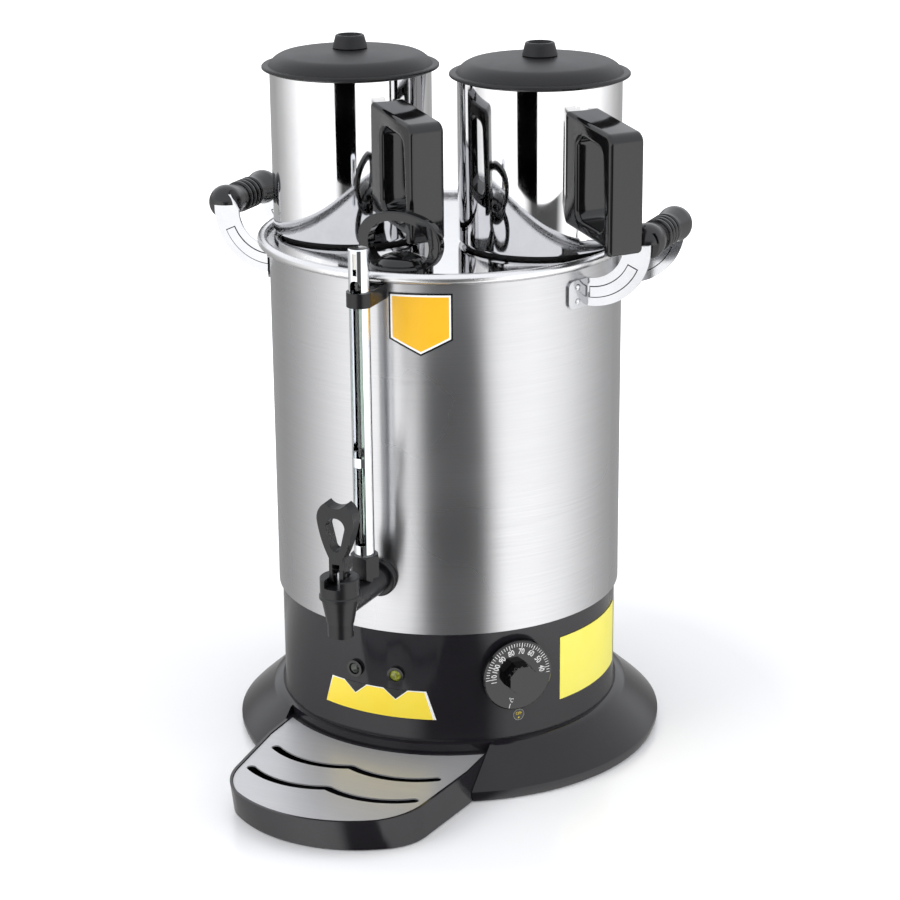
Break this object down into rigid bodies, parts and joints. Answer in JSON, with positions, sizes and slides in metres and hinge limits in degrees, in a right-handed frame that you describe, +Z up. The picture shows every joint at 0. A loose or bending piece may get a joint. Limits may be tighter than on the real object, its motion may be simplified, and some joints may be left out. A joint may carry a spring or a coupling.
{
  "type": "tea urn",
  "caption": "Countertop tea urn with a brushed steel tank, lever tap, sight gauge, drip tray, dial thermostat, side handles and teapots seated in its lid.",
  "frame": {"origin": "on the tank's axis, on the underside of the base where the urn stands", "axes": "+Z up along the tank's axis, -Y to the front where the tap is, +X to the right hand of someone facing away from the tap side"},
  "size_m": [0.4188, 0.4848, 0.609],
  "materials": {
    "black_plastic": "glossy moulded black",
    "satin_black": "satin moulded black",
    "brushed_steel": "brushed stainless",
    "polished_steel": "mirror polished stainless",
    "chrome": "chrome plated",
    "rubber": "black rubber",
    "silicone": "translucent silicone",
    "glass": "clear glass",
    "lens": "dark amber lens",
    "label": "yellow printed film",
    "steel": "plain steel",
    "brass": "machined brass",
    "phenolic": "phenolic moulding",
    "tray_plate": "brushed plate"
  },
  "bodies": {
    "urn": {"base_housing": "black_plastic", "bottom_cover": "steel", "rubber_feet": "rubber", "bottom_screws": "steel", "tank": "brushed_steel", "tank_floor": "steel", "heating_element": "steel", "element_nuts": "brass", "thermostat_body": "phenolic", "thermostat_bulb": "steel", "dry_boil_cutout": "phenolic", "terminal_block": "phenolic", "cable_gland": "satin_black", "lamp_bezels": "black_plastic", "lamp_lens_on": "lens", "lamp_lens_heat": "lens", "panel_label": "label", "side_label": "label", "badge": "label", "left_handle_straps": "polished_steel", "right_handle_straps": "polished_steel", "left_handle_grip": "satin_black", "right_handle_grip": "satin_black", "handle_rods": "steel", "handle_rivets": "steel", "tap_body": "satin_black", "tap_washer": "rubber", "tap_lock_nut": "brass", "tap_bonnet": "satin_black", "gauge_seat_nut": "satin_black", "gauge_glass": "glass", "gauge_seals": "silicone", "gauge_guard": "chrome", "gauge_clamp": "satin_black", "gauge_clamp_screw": "steel"},
    "lid": {"tank_lid": "polished_steel", "pot_seat_rings": "rubber", "filler_neck": "polished_steel"},
    "filler_cap": {"filler_cap": "black_plastic", "cap_gasket": "silicone"},
    "left_pot": {"left_pot_body": "polished_steel", "left_pot_spout": "polished_steel", "left_pot_handle": "black_plastic", "left_pot_screws": "steel"},
    "left_pot_lid": {"left_pot_lid": "satin_black", "left_pot_knob": "satin_black"},
    "right_pot": {"right_pot_body": "polished_steel", "right_pot_spout": "polished_steel", "right_pot_handle": "black_plastic", "right_pot_screws": "steel"},
    "right_pot_lid": {"right_pot_lid": "satin_black", "right_pot_knob": "satin_black"},
    "tap_stem": {"tap_stem": "steel", "seat_cup": "silicone", "lever_pin": "steel", "tap_spring": "steel"},
    "tap_lever": {"tap_lever": "satin_black"},
    "thermostat_knob": {"thermostat_knob": "black_plastic"},
    "drip_tray": {"drip_tray": "black_plastic"},
    "drip_grate": {"drip_grate": "tray_plate"}
  },
  "joints": [
    {"name": "lid_lift", "type": "slide", "parent": "urn", "child": "lid", "axis": [0, 0, 1], "range_m": [0, 0.06]},
    {"name": "filler_cap_lift", "type": "slide", "parent": "lid", "child": "filler_cap", "axis": [0, 0, 1], "range_m": [0, 0.0075]},
    {"name": "left_pot_lift", "type": "slide", "parent": "lid", "child": "left_pot", "axis": [0, 0, 1], "range_m": [0, 0.08]},
    {"name": "right_pot_lift", "type": "slide", "parent": "lid", "child": "right_pot", "axis": [0, 0, 1], "range_m": [0, 0.08]},
    {"name": "left_pot_lid_lift", "type": "slide", "parent": "left_pot", "child": "left_pot_lid", "axis": [0, 0, 1], "range_m": [0, 0.05]},
    {"name": "right_pot_lid_lift", "type": "slide", "parent": "right_pot", "child": "right_pot_lid", "axis": [0, 0, 1], "range_m": [0, 0.05]},
    {"name": "stem_lift", "type": "slide", "parent": "urn", "child": "tap_stem", "axis": [0, 0, 1], "range_m": [0, 0.004], "deforming": ["tap_spring"]},
    {"name": "lever_tilt", "type": "hinge", "parent": "tap_stem", "child": "tap_lever", "pos_m": [0, -0.228, 0.214], "axis": [1, 0, 0], "range_deg": [0, 25]},
    {"name": "thermostat_turn", "type": "hinge", "parent": "urn", "child": "thermostat_knob", "pos_m": [0.10429, -0.10502, 0.0947], "axis": [0.7046, -0.7096, 0], "range_deg": [-275, 0]},
    {"name": "drip_tray_slide", "type": "slide", "parent": "urn", "child": "drip_tray", "axis": [-0.0471, -0.9989, 0], "range_m": [0, 0.08]},
    {"name": "drip_grate_lift", "type": "slide", "parent": "drip_tray", "child": "drip_grate", "axis": [0, 0, 1], "range_m": [0, 0.03]}
  ],
  "couplings": [
    {"joint": "stem_lift", "follows": "lever_tilt", "m_per_rad": 0.009165}
  ]
}
